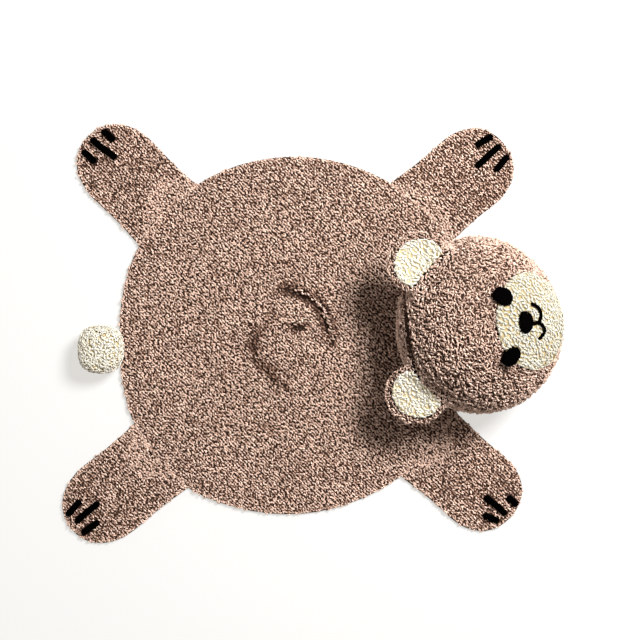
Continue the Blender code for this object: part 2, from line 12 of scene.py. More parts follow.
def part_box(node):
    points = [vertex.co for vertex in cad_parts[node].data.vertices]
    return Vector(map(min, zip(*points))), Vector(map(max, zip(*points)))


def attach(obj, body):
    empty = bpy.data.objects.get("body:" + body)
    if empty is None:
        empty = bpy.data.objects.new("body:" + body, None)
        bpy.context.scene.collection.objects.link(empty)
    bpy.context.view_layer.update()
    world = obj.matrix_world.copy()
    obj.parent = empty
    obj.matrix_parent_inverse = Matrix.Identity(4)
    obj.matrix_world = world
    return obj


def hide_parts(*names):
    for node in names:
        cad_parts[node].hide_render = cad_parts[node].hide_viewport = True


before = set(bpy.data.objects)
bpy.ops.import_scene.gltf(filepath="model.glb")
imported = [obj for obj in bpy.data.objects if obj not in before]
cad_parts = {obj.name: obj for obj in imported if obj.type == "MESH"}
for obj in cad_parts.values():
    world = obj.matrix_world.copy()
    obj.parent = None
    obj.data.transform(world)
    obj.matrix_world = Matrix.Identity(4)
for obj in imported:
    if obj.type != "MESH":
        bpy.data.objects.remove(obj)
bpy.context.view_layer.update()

# ---------------------------------------------------------------------------------------------
# The round body: thick boucle cloth, crocheted in rounds from its middle outwards and laid flat.
# Its firm ground follows the solid, a little inside it, and the yarn's curls stand up from the
# ground to the solid's surface: short hooks of yarn whose two ends sink between their neighbours.
# ---------------------------------------------------------------------------------------------

ROW_PITCH = 0.0057  # between two rows of curls
CURL_PITCH = 0.0060  # between two curls along a row
CURL_LENGTH = (0.0074, 0.0108)
CURL_GIRTH = (0.0016, 0.0023)  # half the yarn's width
CURL_PEAK = (-0.0020, 0.0018)  # of its top over the solid's surface
CURL_SINK = (0.0034, 0.0054)  # of its ends under its middle
CURL_BOW = (0.12, 0.42)  # to one side, as a share of its length
CURL_WAVE = 0.10  # to both sides, as a share of its length
BOW_SHORTENS = 0.45  # how much less far a bowed curl reaches, as a share of the bow
BOW_BALANCE = 0.45  # the share of the bow that lies beyond the curl's own line
CURL_DROOP = 2.2  # how late along its half length a curl bends down
CURL_TAPER = 0.22  # how much thinner the yarn is towards its ends
CURL_STATIONS = (-0.56, 0.0, 0.56)  # of its rings along its half length
CURL_SIDES = 4
CURL_LEAN = Vector((1, -1, 0)).normalized()  # the way that the rows run and most curls lie
GROUND_DEPTH = 0.0042  # of the firm ground under the solid's surface
GROUND_EDGE = 0.016  # the longest edge of its mesh
FLOOR_CLEARANCE = 0.0004
ON_FLOOR = 0.0005  # what lies lower than this lies on the floor
ABOVE_FLOOR = 0.001  # curls stand only on what is higher than this
BODY_START = Vector((-0.010, 0.008))  # where the first round begins
UP = Vector((0, 0, 1))
DOWN = Vector((0, 0, -1))


def solid_shape(node):
    """A copy of a solid's mesh in triangles, with its points merged."""
    shape = bmesh.new()
    shape.from_mesh(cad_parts[node].data)
    bmesh.ops.remove_doubles(shape, verts=shape.verts, dist=1e-5)
    bmesh.ops.triangulate(shape, faces=shape.faces)
    return shape


def skin_of(node):
    """A solid's surface: its points, outward directions, faces and a tree."""
    shape = solid_shape(node)
    shape.normal_update()
    points = np.array([v.co for v in shape.verts])
    outward = np.array([v.normal for v in shape.verts])
    faces = np.array([[v.index for v in f.verts] for f in shape.faces])
    tree = BVHTree.FromBMesh(shape)
    shape.free()
    return {"points": points, "outward": outward, "faces": faces, "tree": tree}


skins = {node: skin_of(node) for node in sorted(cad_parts)}


def tree_of(nodes):
    """One tree of the faces of several solids."""
    points, faces, start = [], [], 0
    for node in nodes:
        points.append(skins[node]["points"])
        faces.append(skins[node]["faces"] + start)
        start += len(skins[node]["points"])
    points, faces = np.concatenate(points), np.concatenate(faces)
    return BVHTree.FromPolygons(points.tolist(), faces.tolist())


everything = tree_of(sorted(skins))
legs = tree_of([node for node in sorted(skins) if node.startswith("leg_")])


def unit(vectors):
    """Vectors made one long."""
    return vectors / np.maximum(np.linalg.norm(vectors, axis=-1, keepdims=True), 1e-12)


COVER_REACH = 0.0035  # what is closer than this over a place covers it
COVER_START = 0.0002
FACES_FLOOR = -0.93  # what faces down more than this carries no curls
LEANS_DOWN = -0.35  # nor does what faces down more than this lower than NEAR_FLOOR
NEAR_FLOOR = 0.006


def open_places(places):
    """The places (point, outward, along, lift) that nothing covers and that see some light."""
    kept = []
    for place in places:
        point, outward = place[0], place[1]
        if outward.z < FACES_FLOOR or (outward.z < LEANS_DOWN and point.z < NEAR_FLOOR):
            continue
        start = point + outward * COVER_START
        if everything.ray_cast(start, outward, COVER_REACH)[0] is None:
            kept.append(place)
    return kept


def new_piece(name, data):
    """A new object in the scene, from its mesh, light or camera."""
    piece = bpy.data.objects.new(name, data)
    bpy.context.scene.collection.objects.link(piece)
    return piece


def curls(name, places, seed, calm, size=1.0, peak=CURL_PEAK, sides=CURL_SIDES, tall=1.0):
    """A mesh of curls of yarn, one at each place.

    The calmer they are, the more they lie one way. Tall is the yarn's height for its width.
    """
    rng = np.random.default_rng(seed)
    count = len(places)
    point = np.array([p[0] for p in places])[:, None, :]
    outward = unit(np.array([p[1] for p in places]))[:, None, :]
    along = np.array([p[2] for p in places])[:, None, :]
    lift = np.array([p[3] for p in places])[:, None, None]
    along = unit(along - outward * np.sum(along * outward, axis=-1, keepdims=True))
    across = np.cross(outward, along)

    def pick(low, high):
        return rng.uniform(low, high, (count, 1, 1))

    turn = math.pi / 2 * pick(-1, 1) * (1 - calm)
    length = pick(*CURL_LENGTH) * size
    girth = pick(*CURL_GIRTH) * size
    bow = pick(*CURL_BOW) * np.where(pick(-1, 1) > 0, 1, -1) * length
    wave = pick(-CURL_WAVE, CURL_WAVE) * length
    top = pick(*peak) + lift - girth * tall
    sink = pick(*CURL_SINK) * size * tall
    ahead = along * np.cos(turn) + across * np.sin(turn)
    side = np.cross(outward, ahead)

    def at(s):
        """The yarn's middle line at those shares of its half length."""
        forward = length / 2 * s * (1 - BOW_SHORTENS * np.abs(bow) / length)
        sideways = bow * (BOW_BALANCE - s * s) + wave * np.sin(math.pi * s)
        height = top - sink * np.abs(s) ** CURL_DROOP
        return point + ahead * forward + side * sideways + outward * height, height

    stations = np.array(CURL_STATIONS)[None, :, None]
    centre, height = at(stations)
    tips, tip_height = at(np.array([-1.0, 1.0])[None, :, None])
    girths = girth * (1 - CURL_TAPER * np.abs(stations) ** 2)
    nearby = 0.05
    tangent = unit(at(stations + nearby)[0] - at(stations - nearby)[0])
    level = unit(np.cross(tangent, outward))
    upward = np.cross(level, tangent)
    angle = (2 * math.pi * np.arange(sides) / sides + math.pi / 2)[None, None, :, None]
    ring = level[:, :, None] * np.cos(angle) + upward[:, :, None] * np.sin(angle) * tall
    body = centre[:, :, None] + girths[:, :, None] * ring
    points = np.concatenate([body.reshape(count, -1, 3), tips], axis=1)
    points[..., 2] = np.maximum(points[..., 2], FLOOR_CLEARANCE)
    rise = height[:, :, None] + girths[:, :, None] * np.sin(angle) * tall
    rises = np.concatenate([rise.reshape(count, -1), tip_height[..., 0]], axis=1)
    foot = peak[0] - 2 * CURL_GIRTH[1] * size * tall
    depth = np.clip((rises - foot) / (peak[1] - foot), 0, 1)

    # Faces: the tube's sides, then the fans that close its two ends. Each has its corners on a
    # flat map too, as rings along and sides round, with the ends a little beyond the rings.
    rings = len(CURL_STATIONS)
    beyond = 0.6
    quads, quad_maps = [], []
    for i in range(rings - 1):
        here, there = i * sides, (i + 1) * sides
        for j in range(sides):
            k = (j + 1) % sides
            quads.append((here + j, here + k, there + k, there + j))
            quad_maps.append(((i, j), (i, j + 1), (i + 1, j + 1), (i + 1, j)))
    fans, fan_maps = [], []
    last = (rings - 1) * sides
    for j in range(sides):
        k = (j + 1) % sides
        fans.append((k, j, rings * sides))
        fan_maps.append(((0, j + 1), (0, j), (-beyond, j + 0.5)))
        fans.append((last + j, last + k, rings * sides + 1))
        fan_maps.append(((rings - 1, j), (rings - 1, j + 1), (rings - 1 + beyond, j + 0.5)))
    per_curl = rings * sides + 2
    starts = np.arange(count)[:, None] * per_curl
    corner = np.concatenate([np.array(quads).ravel(), np.array(fans).ravel()])
    corners = (starts + corner[None, :]).ravel()
    totals = np.tile([4] * len(quads) + [3] * len(fans), count)
    loop_starts = np.concatenate([[0], np.cumsum(totals)[:-1]])
    mesh = bpy.data.meshes.new(name)
    mesh.vertices.add(count * per_curl)
    mesh.vertices.foreach_set("co", points.reshape(-1))
    mesh.loops.add(len(corners))
    mesh.loops.foreach_set("vertex_index", corners)
    mesh.polygons.add(len(totals))
    mesh.polygons.foreach_set("loop_start", loop_starts)
    mesh.polygons.foreach_set("loop_total", totals)

    # The flat map gives each curl a square of its own, with a margin
    columns = math.ceil(math.sqrt(count))
    margin, filling = 0.1, 0.8
    place = np.array([corner for face in quad_maps + fan_maps for corner in face])
    cell_u = (np.arange(count) % columns)[:, None]
    cell_v = (np.arange(count) // columns)[:, None]
    share_u = (place[:, 0] + beyond) / (rings - 1 + 2 * beyond)
    share_v = place[:, 1] / sides
    u = (cell_u + margin + filling * share_u) / columns
    v = (cell_v + margin + filling * share_v) / columns
    flat_map = mesh.uv_layers.new(name="OFBake")
    flat_map.data.foreach_set("uv", np.stack([u, v], axis=-1).reshape(-1))
    mesh.update(calc_edges=True)

    # How high each point lies, from 0 to 1, which the finish turns into painted shade lower down,
    # and a number of each curl's own for its tint
    mesh.attributes.new("depth", "FLOAT", "POINT").data.foreach_set("value", depth.ravel())
    tint = np.repeat(rng.uniform(0, 1, count), per_curl)
    mesh.attributes.new("tint", "FLOAT", "POINT").data.foreach_set("value", tint)
    if tall == 1.0:  # flattened yarn keeps its flat faces, which catch the light evenly
        mesh.shade_smooth()
    return new_piece(name, mesh)


def ground(node, depth=GROUND_DEPTH, inset=None, longest=GROUND_EDGE):
    """The firm ground of a piece: its solid's form, drawn in all round but flat on the floor."""
    inset = depth if inset is None else inset
    shape = solid_shape(node)
    for _ in range(2):
        long = [edge for edge in shape.edges if edge.calc_length() > longest]
        if long:
            bmesh.ops.subdivide_edges(shape, edges=long, cuts=1)
            bmesh.ops.triangulate(shape, faces=shape.faces)
    shape.normal_update()
    moves = [(vertex, vertex.normal.copy()) for vertex in shape.verts]
    for vertex, outward in moves:
        on_floor = vertex.co.z < ON_FLOOR
        vertex.co -= Vector((outward.x * inset, outward.y * inset, outward.z * depth))
        if on_floor:
            vertex.co.z = FLOOR_CLEARANCE
    mesh = bpy.data.meshes.new(node + "_ground")
    shape.to_mesh(mesh)
    shape.free()
    mesh.shade_smooth()
    return new_piece(node + "_ground", mesh)


def new_finish(name):
    """A new material: itself, its tree, its shader and the rug's own directions."""
    material = bpy.data.materials.new(name)
    material.use_nodes = True
    tree = material.node_tree
    shader = tree.nodes["Principled BSDF"]
    return material, tree, shader, tree.nodes.new("ShaderNodeTexCoord")


def set_sockets(shader, **values):
    """Sets a shader's own sockets, named with _ for each space."""
    for name, value in values.items():
        shader.inputs[name.replace("_", " ")].default_value = value


def noise(tree, scale, detail, at):
    """A noise of that scale, in the rug's own directions."""
    node = tree.nodes.new("ShaderNodeTexNoise")
    node.inputs["Scale"].default_value = scale
    node.inputs["Detail"].default_value = detail
    tree.links.new(at.outputs["Object"], node.inputs["Vector"])
    return node


def ramp(tree, factor, stops):
    """A run of colours over a factor."""
    node = tree.nodes.new("ShaderNodeValToRGB")
    while len(node.color_ramp.elements) < len(stops):
        node.color_ramp.elements.new(0.5)
    for element, (place, colour) in zip(node.color_ramp.elements, stops):
        element.position = place
        element.color = (*colour, 1.0)
    tree.links.new(factor, node.inputs["Fac"])
    return node


def darkened(tree, first, second):
    """One colour darkened by another, which is no brighter than white."""
    node = tree.nodes.new("ShaderNodeMix")
    node.data_type = "RGBA"
    node.blend_type = "MULTIPLY"
    node.inputs["Factor"].default_value = 1.0
    tree.links.new(first, node.inputs["A"])
    tree.links.new(second.outputs["Color"], node.inputs["B"])
    return node.outputs["Result"]


def add_relief(tree, shader, height, strength, distance):
    """Relief in a finish, from a noise."""
    node = tree.nodes.new("ShaderNodeBump")
    node.inputs["Strength"].default_value = strength
    node.inputs["Distance"].default_value = distance
    tree.links.new(height.outputs["Fac"], node.inputs["Height"])
    tree.links.new(node.outputs["Normal"], shader.inputs["Normal"])


WHITE = (1.0, 1.0, 1.0)
# Below the middle depth the yarn is painted darker, as the shade that falls between the curls and
# down to their roots.
MIDDLE_DEPTH = 0.40  # the depths, from 0 to 1, where a curl has its middle and its bright colour
BRIGHT_DEPTH = 0.67
WEAR_SCALE = 14.0
WEAR_SHADE = (0.90, 0.90, 0.90)
KNOT_BLUR = 0.11  # how softly the dark between two knots ends
SOFT_REACH = 0.003  # how far light travels inside the yarn


def boucle(
    name, deep, middle, bright, tints, knot_painted_shade, knot_share, knot_scale, knot_height,
    sheen, sheen_tint, soft=0.0,
):
    """Curly yarn with painted shade: darker the lower it lies between its curls, and darker in the
    hollows of its knots. Each curl has a tint of its own.

    Soft is how much of the light goes into the yarn before it comes back.
    """
    material, tree, shader, at = new_finish(name)
    depth = tree.nodes.new("ShaderNodeAttribute")
    depth.attribute_name = "depth"
    tint = tree.nodes.new("ShaderNodeAttribute")
    tint.attribute_name = "tint"
    depth_painted_shade_stops = [(0.0, deep), (MIDDLE_DEPTH, middle), (BRIGHT_DEPTH, bright)]
    yarn = ramp(tree, depth.outputs["Fac"], depth_painted_shade_stops)
    dyed = ramp(tree, tint.outputs["Fac"], [(0.0, tints[0]), (0.5, tints[1]), (1.0, tints[2])])
    colour = darkened(tree, yarn.outputs["Color"], dyed)
    patchy = noise(tree, WEAR_SCALE, 3.0, at)
    worn = ramp(tree, patchy.outputs["Fac"], [(0.3, WEAR_SHADE), (0.7, WHITE)])
    colour = darkened(tree, colour, worn)
    # Painted shade in the hollows of the knots: where their noise is low the relief lies low, and
    # the colour is darkened there.
    knots = noise(tree, knot_scale, 1.5, at)
    knot_stops = [(knot_share, knot_painted_shade), (knot_share + KNOT_BLUR, WHITE)]
    knot_painted_shading = ramp(tree, knots.outputs["Fac"], knot_stops)
    tree.links.new(darkened(tree, colour, knot_painted_shading), shader.inputs["Base Color"])
    add_relief(tree, shader, knots, 1.0, knot_height)
    set_sockets(
        shader,
        Roughness=0.9,
        Specular_IOR_Level=0.15,
        Sheen_Weight=sheen,
        Sheen_Roughness=0.5,
        Sheen_Tint=(*sheen_tint, 1.0),
        Subsurface_Weight=soft,
        Subsurface_Radius=(1.0, 1.0, 1.0),
        Subsurface_Scale=SOFT_REACH,
    )
    return material


def smooth_yarn(name, scale, stops, strength, distance, roughness, gloss):
    """Yarn without curls: fine fibres of a few shades, with a low relief."""
    material, tree, shader, at = new_finish(name)
    fibres = noise(tree, scale, 2.0, at)
    colour = ramp(tree, fibres.outputs["Fac"], stops)
    tree.links.new(colour.outputs["Color"], shader.inputs["Base Color"])
    add_relief(tree, shader, fibres, strength, distance)
    set_sockets(shader, Roughness=roughness, Specular_IOR_Level=gloss)
    return material


def painted_shade_backing(name, dark, light):
    """The firm stitches under the curls, seen only between them, coloured darker than the yarn as
    painted shade in the gaps.
    """
    return smooth_yarn(
        name,
        scale=260.0,
        stops=[(0.35, dark), (0.7, light)],
        strength=0.8,
        distance=0.002,
        roughness=1.0,
        gloss=0.05,
    )


# The brown yarn: bright is its own colour, at the tops of the curls; middle and deep are painted
# shade lower down between the curls, near black at their roots; the knots' colour is painted shade
# in their hollows.
brown_boucle = boucle(
    "brown_boucle",
    deep=(0.036, 0.014, 0.008),
    middle=(0.440, 0.256, 0.178),
    bright=(1.000, 0.735, 0.600),
    tints=((0.66, 0.64, 0.62), (0.95, 0.94, 0.94), WHITE),
    knot_painted_shade=(0.24, 0.17, 0.14),
    knot_share=0.35,
    knot_scale=420.0,
    knot_height=0.0022,
    sheen=0.08,
    sheen_tint=(1.0, 0.9, 0.85),
)
# The brown ground is near black: painted shade between the curls.
brown_backing = painted_shade_backing("brown_backing", (0.020, 0.010, 0.007), (0.060, 0.034, 0.024))


def dress(piece, material, slot, *nodes):
    """Gives a piece its finish, sets it on the rug and hides the solids it stands for."""
    piece.data.materials.append(material)
    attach(piece, "root")
    if nodes:
        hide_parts(*nodes)
    return piece


def brown_ground(node, **ways):
    """The ground under the brown curls."""
    return dress(ground(node, **ways), brown_backing, "brown_boucle", node)


def brown_curls(name, places, seed, **ways):
    """Curls of the brown yarn."""
    return dress(curls(name, places, seed, **ways), brown_boucle, "brown_boucle")


# The creases about the rug's middle: how deep each is, how wide its low side is, how far it is
# raised on its left hand, and its line as (x, y, share of the depth).
CREASES = (
    {
        "deep": 0.0046,
        "wide": 0.0160,
        "raised": 0.0,
        "line": (
            (-0.052, 0.108, 0.1),
            (-0.040, 0.107, 0.7),
            (-0.013, 0.098, 0.9),
            (0.012, 0.092, 1.0),
            (0.036, 0.076, 1.0),
            (0.054, 0.054, 1.0),
            (0.058, 0.032, 0.9),
            (0.070, 0.005, 0.6),
            (0.076, -0.024, 0.2),
        ),
    },
    {
        "deep": 0.0062,
        "wide": 0.0085,
        "raised": 0.0018,
        "line": (
            (-0.026, 0.021, 0.2),
            (-0.014, 0.018, 0.9),
            (-0.005, 0.016, 1.1),
            (0.006, 0.018, 1.0),
            (0.014, 0.022, 0.2),
        ),
    },
    {
        "deep": 0.0030,
        "wide": 0.0150,
        "raised": 0.0,
        "line": (
            (-0.072, 0.045, 0.2),
            (-0.073, 0.030, 0.5),
            (-0.098, 0.008, 0.8),
            (-0.106, -0.014, 1.0),
            (-0.094, -0.034, 0.8),
            (-0.098, -0.054, 0.8),
            (-0.080, -0.071, 1.0),
            (-0.055, -0.100, 0.8),
            (-0.033, -0.120, 0.5),
            (-0.017, -0.114, 0.2),
        ),
    },
    {
        "deep": 0.0030,
        "wide": 0.0110,
        "raised": 0.0020,
        "line": ((-0.016, -0.040, 0.1), (0.006, -0.048, 0.5), (0.026, -0.064, 0.1)),
    },
)
RAISED_AT = 1.8  # where the raised side is highest, in widths of the low side
RAISED_WIDE = 1.2


def creased(x, y, creases):
    """How much the creases lift or lower the cloth at those places."""
    spots = np.stack([np.atleast_1d(x), np.atleast_1d(y)], axis=-1)
    total = np.zeros(len(spots))
    for crease in creases:
        wide, line = crease["wide"], np.array(crease["line"])
        nearest = np.full(len(spots), np.inf)
        offset, share = np.zeros(len(spots)), np.zeros(len(spots))
        for first, last in zip(line[:-1], line[1:]):
            run = last[:2] - first[:2]
            t = np.clip((spots - first[:2]) @ run / (run @ run), 0, 1)
            away = spots - (first[:2] + t[:, None] * run)
            distance = np.linalg.norm(away, axis=1)
            closer = distance < nearest
            nearest = np.where(closer, distance, nearest)
            hand = np.sign(run[0] * away[:, 1] - run[1] * away[:, 0])
            offset = np.where(closer, hand * distance, offset)
            share = np.where(closer, first[2] + t * (last[2] - first[2]), share)
        low = crease["deep"] * np.exp(-np.abs(offset / wide) ** 3)
        from_high = (offset - RAISED_AT * wide) / (RAISED_WIDE * wide)
        high = crease["raised"] * np.exp(-(from_high**2))
        total += share * (high - low)
    return total


BODY_REACH = 0.44  # how far the rows go on from where the first round begins
OUTSIDE = 0.6  # a place beyond the body's edge
EDGE_HEIGHT = 0.006  # where the body's edge is found, and where the legs' cloth is
SEAM_STEPS = 1560
SEAM_BEYOND = 0.004  # a seam is where a leg's cloth goes on this far beyond the edge
SEAM_DROP = 0.01
SEAM_ASIDE = 0.0030
SEAM_HEIGHT = 0.0112
SEAM_LIFT = (-0.0012, 0.0)


def seam_places():
    """Places along the body's edge where a leg is sewn on, over the groove of the seam."""
    rng = np.random.default_rng(10)
    middle = Vector((BODY_START.x, BODY_START.y, EDGE_HEIGHT))
    places = []
    for step in range(SEAM_STEPS):
        angle = 2 * math.pi * step / SEAM_STEPS
        direction = Vector((math.cos(angle), math.sin(angle), 0))
        hit = skins["body"]["tree"].ray_cast(middle + direction * OUTSIDE, -direction)
        edge = (hit[0].to_2d() - BODY_START).length
        beyond = BODY_START + direction.to_2d() * (edge + SEAM_BEYOND)
        if legs.ray_cast(Vector((*beyond, EDGE_HEIGHT)), DOWN, SEAM_DROP)[0] is None:
            continue
        aside = rng.uniform(-SEAM_ASIDE, SEAM_ASIDE)
        spot = BODY_START + direction.to_2d() * (edge + aside)
        point = Vector((spot.x, spot.y, SEAM_HEIGHT))
        along = Vector((-direction.y, direction.x, 0))
        places.append((point, UP, along, rng.uniform(*SEAM_LIFT)))
    return open_places(places)


ALONG_JITTER = 0.35  # of a curl's place along its row, in pitches
ASIDE_JITTER = 0.0009  # of a curl's place across its row
FROM_ABOVE = 0.5  # a height over the whole rug
TOP_FACES = 0.80  # what faces up at least as squarely as this is the top of a flat piece


def rows_over(node, middle, reach, seed, lift):
    """Places in rows over a flat solid's top, each with lift(spot)."""
    rng = np.random.default_rng(seed)
    side = Vector((-CURL_LEAN.y, CURL_LEAN.x, 0))
    rows, marks = int(reach / ROW_PITCH), int(reach / CURL_PITCH)
    places = []
    for row in range(-rows, rows + 1):
        start = rng.uniform(0, 1)
        for mark in range(-marks, marks + 1):
            along = (mark + start + rng.uniform(-ALONG_JITTER, ALONG_JITTER)) * CURL_PITCH
            aside = row * ROW_PITCH + rng.uniform(-ASIDE_JITTER, ASIDE_JITTER)
            spot = middle + CURL_LEAN * along + side * aside
            above = Vector((spot.x, spot.y, FROM_ABOVE))
            point, outward = skins[node]["tree"].ray_cast(above, DOWN)[:2]
            if point is not None and outward.z > TOP_FACES:
                places.append((point, outward, CURL_LEAN, lift(spot)))
    return open_places(places)


def body_places():
    """Places in rows over the body's top, and over the seams of its legs."""
    middle = Vector((BODY_START.x, BODY_START.y, 0))
    places = rows_over("body", middle, BODY_REACH, 11, lambda spot: 0.0) + seam_places()
    lifts = creased([p[0].x for p in places], [p[0].y for p in places], CREASES)
    return [(p[0], p[1], p[2], p[3] + lift) for p, lift in zip(places, lifts)]


TRIES = 14  # for each place that is wanted


def scattered(node, spacing, seed, keep, lift=(0.0, 0.0)):
    """Places spread evenly over those parts of a solid that keep(points, outwards) picks."""
    rng = np.random.default_rng(seed)
    skin = skins[node]
    corners = skin["points"][skin["faces"]]
    squares = np.cross(corners[:, 1] - corners[:, 0], corners[:, 2] - corners[:, 0])
    area = np.linalg.norm(squares, axis=1) / 2
    tries = int(area.sum() / spacing**2 * TRIES)
    face = rng.choice(len(area), size=tries, p=area / area.sum())
    a, b = rng.uniform(0, 1, (2, tries, 1))
    a, b = np.where(a + b > 1, 1 - a, a), np.where(a + b > 1, 1 - b, b)
    weights = np.concatenate([1 - a - b, a, b], axis=1)[:, :, None]
    points = np.sum(corners[face] * weights, axis=1)
    outwards = unit(np.sum(skin["outward"][skin["faces"]][face] * weights, axis=1))
    taken, places = {}, []
    kept = keep(points, outwards)
    for point, outward in zip(points[kept], outwards[kept]):
        cell = tuple(np.floor(point / spacing).astype(int))
        near = (
            other
            for dx in (-1, 0, 1)
            for dy in (-1, 0, 1)
            for dz in (-1, 0, 1)
            for other in taken.get((cell[0] + dx, cell[1] + dy, cell[2] + dz), ())
        )
        if any(np.sum((point - other) ** 2) < spacing**2 for other in near):
            continue
        taken.setdefault(cell, []).append(point)
        places.append((Vector(point), Vector(outward), CURL_LEAN, rng.uniform(*lift)))
    return open_places(places)


RIM_SPACING = 0.0054  # between the curls round the edges
RIM_LIFT = (-0.0010, 0.0034)  # they stand out unevenly
RIM_LOWEST, RIM_HIGHEST = -0.6, 0.86  # how far down and up the rim faces
FLAT_CALM = 0.5  # how much the curls of the body and the legs lie one way


def on_rim(points, outwards):
    """True on the rounded edge of a flat piece."""
    level = (outwards[:, 2] > RIM_LOWEST) & (outwards[:, 2] < RIM_HIGHEST)
    return level & (points[:, 2] > ABOVE_FLOOR)


CREASED_REACH = 0.15  # how far from the middle the ground is cut finer
CREASED_EDGE = 0.006  # the longest edge that is left there
GROUND_TOP = 0.004  # what is higher than this is the ground's top
GROUND_LOWEST = 0.0015  # the top goes no lower than this under a crease


def to_cut(edge):
    """True for a long edge of the ground about the rug's middle."""
    farthest = max((vertex.co.to_2d() - BODY_START).length for vertex in edge.verts)
    return edge.calc_length() > CREASED_EDGE and farthest < CREASED_REACH


body_ground = brown_ground("body", inset=0.0)
body_shape = bmesh.new()
body_shape.from_mesh(body_ground.data)
for _ in range(2):
    near = [edge for edge in body_shape.edges if to_cut(edge)]
    bmesh.ops.subdivide_edges(body_shape, edges=near, cuts=1)
    bmesh.ops.triangulate(body_shape, faces=body_shape.faces)
tops = [vertex for vertex in body_shape.verts if vertex.co.z > GROUND_TOP]
top_lifts = creased([v.co.x for v in tops], [v.co.y for v in tops], CREASES)
for vertex, lift in zip(tops, top_lifts):
    vertex.co.z = max(GROUND_LOWEST, vertex.co.z + lift)
body_shape.to_mesh(body_ground.data)
body_shape.free()
body_ground.data.shade_smooth()

body_all = body_places() + scattered("body", RIM_SPACING, 12, on_rim, RIM_LIFT)
body_all.sort(key=lambda place: place[0].y)
body_third = len(body_all) // 3 + 1
for number, part in enumerate(("right", "middle", "left")):
    part_places = body_all[number * body_third : (number + 1) * body_third]
    name = "body_curls_" + part
    brown_curls(name, part_places, 13 + number, calm=FLAT_CALM)

# ---------------------------------------------------------------------------------------------
# The legs: four strips of the same cloth with a round paw, worked in rows from side to side, so
# that low ribs run across the leg. Each is sewn edge to edge to the body.
# ---------------------------------------------------------------------------------------------

LEG_RIB_PITCH = 0.0112  # between two ribs, which the rounds of the body carry on across the leg
LEG_RIB = 0.0009  # how far the yarn lies lower between two ribs
LEG_HEADINGS = {"front_left": 40.2, "front_right": -41.0, "hind_left": 135.1, "hind_right": -141.1}


def leg_places(node, heading, seed):
    """Places in rows over a leg's top, lower between its ribs."""
    low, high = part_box(node)
    middle = (low + high) / 2
    ahead = Vector((math.cos(math.radians(heading)), math.sin(math.radians(heading)), 0))

    def rib(spot):
        turn = 2 * math.pi * (spot - middle).dot(ahead) / LEG_RIB_PITCH
        return LEG_RIB * (math.cos(turn) - 1) / 2

    return rows_over(node, middle, (high - low).length / 2, seed, rib)


for number, (leg, heading) in enumerate(LEG_HEADINGS.items()):
    node = "leg_" + leg
    leg_ground = brown_ground(node, inset=0.0)
    leg_top = leg_places(node, heading, 20 + number)
    leg_rim = scattered(node, RIM_SPACING, 30 + number, on_rim, RIM_LIFT)
    leg_curls = brown_curls(node + "_curls", leg_top + leg_rim, 40 + number, calm=FLAT_CALM)

# ---------------------------------------------------------------------------------------------
# The claws: three bars on each paw, of smooth black yarn in long stitches laid side by side, the
# middle ones a little longer, so that the bar has a round end.
# ---------------------------------------------------------------------------------------------

STITCH_PITCH = 0.0030  # between two stitches laid side by side
STITCH_GIRTH = 0.0020  # half the width of the black yarn
STITCH_SIDES = 6
STITCH_END = 0.55  # the yarn's share of its girth where a stitch ends
STITCH_STEP = 0.0024  # between two points of a stitch
STITCH_SUNK = 0.75  # how far its middle lies under the solid's surface, in girths
STITCH_EDGE = 0.8  # how far the outer stitches lie inside the solid's edge, in girths
STITCH_FROM = 0.03  # a distance over the whole patch of stitches
EDGE_FACES = 0.1  # what faces out at least as squarely as this carries stitches


def strand_mesh(name, routes, girth):
    """A mesh of round strands, each along a route of (point, outward) with closed ends."""
    shape = bmesh.new()
    for route in routes:
        loops = []
        last = len(route) - 1
        for i, (point, outward) in enumerate(route):
            ahead = route[min(i + 1, last)][0] - route[max(i - 1, 0)][0]
            level = ahead.cross(outward).normalized()
            upward = level.cross(ahead).normalized()
            thin = STITCH_END if i in (0, last) else 1.0
            loop = []
            for j in range(STITCH_SIDES):
                turn = 2 * math.pi * j / STITCH_SIDES
                around = level * math.cos(turn) + upward * math.sin(turn)
                loop.append(shape.verts.new(point + around * girth * thin))
            loops.append(loop)
        for first, second in zip(loops, loops[1:]):
            for j in range(STITCH_SIDES):
                k = (j + 1) % STITCH_SIDES
                shape.faces.new((first[j], second[j], second[k], first[k]))
        shape.faces.new(loops[0])
        shape.faces.new(loops[-1][::-1])
    bmesh.ops.recalc_face_normals(shape, faces=shape.faces)
    mesh = bpy.data.meshes.new(name)
    shape.to_mesh(mesh)
    shape.free()
    mesh.shade_smooth()
    return new_piece(name, mesh)


black_yarn = smooth_yarn(
    "black_yarn",
    scale=700.0,
    stops=[(0.3, (0.0004, 0.0003, 0.0003)), (0.7, (0.0016, 0.0013, 0.0013))],
    strength=0.4,
    distance=0.0005,
    roughness=0.7,
    gloss=0.0,
)


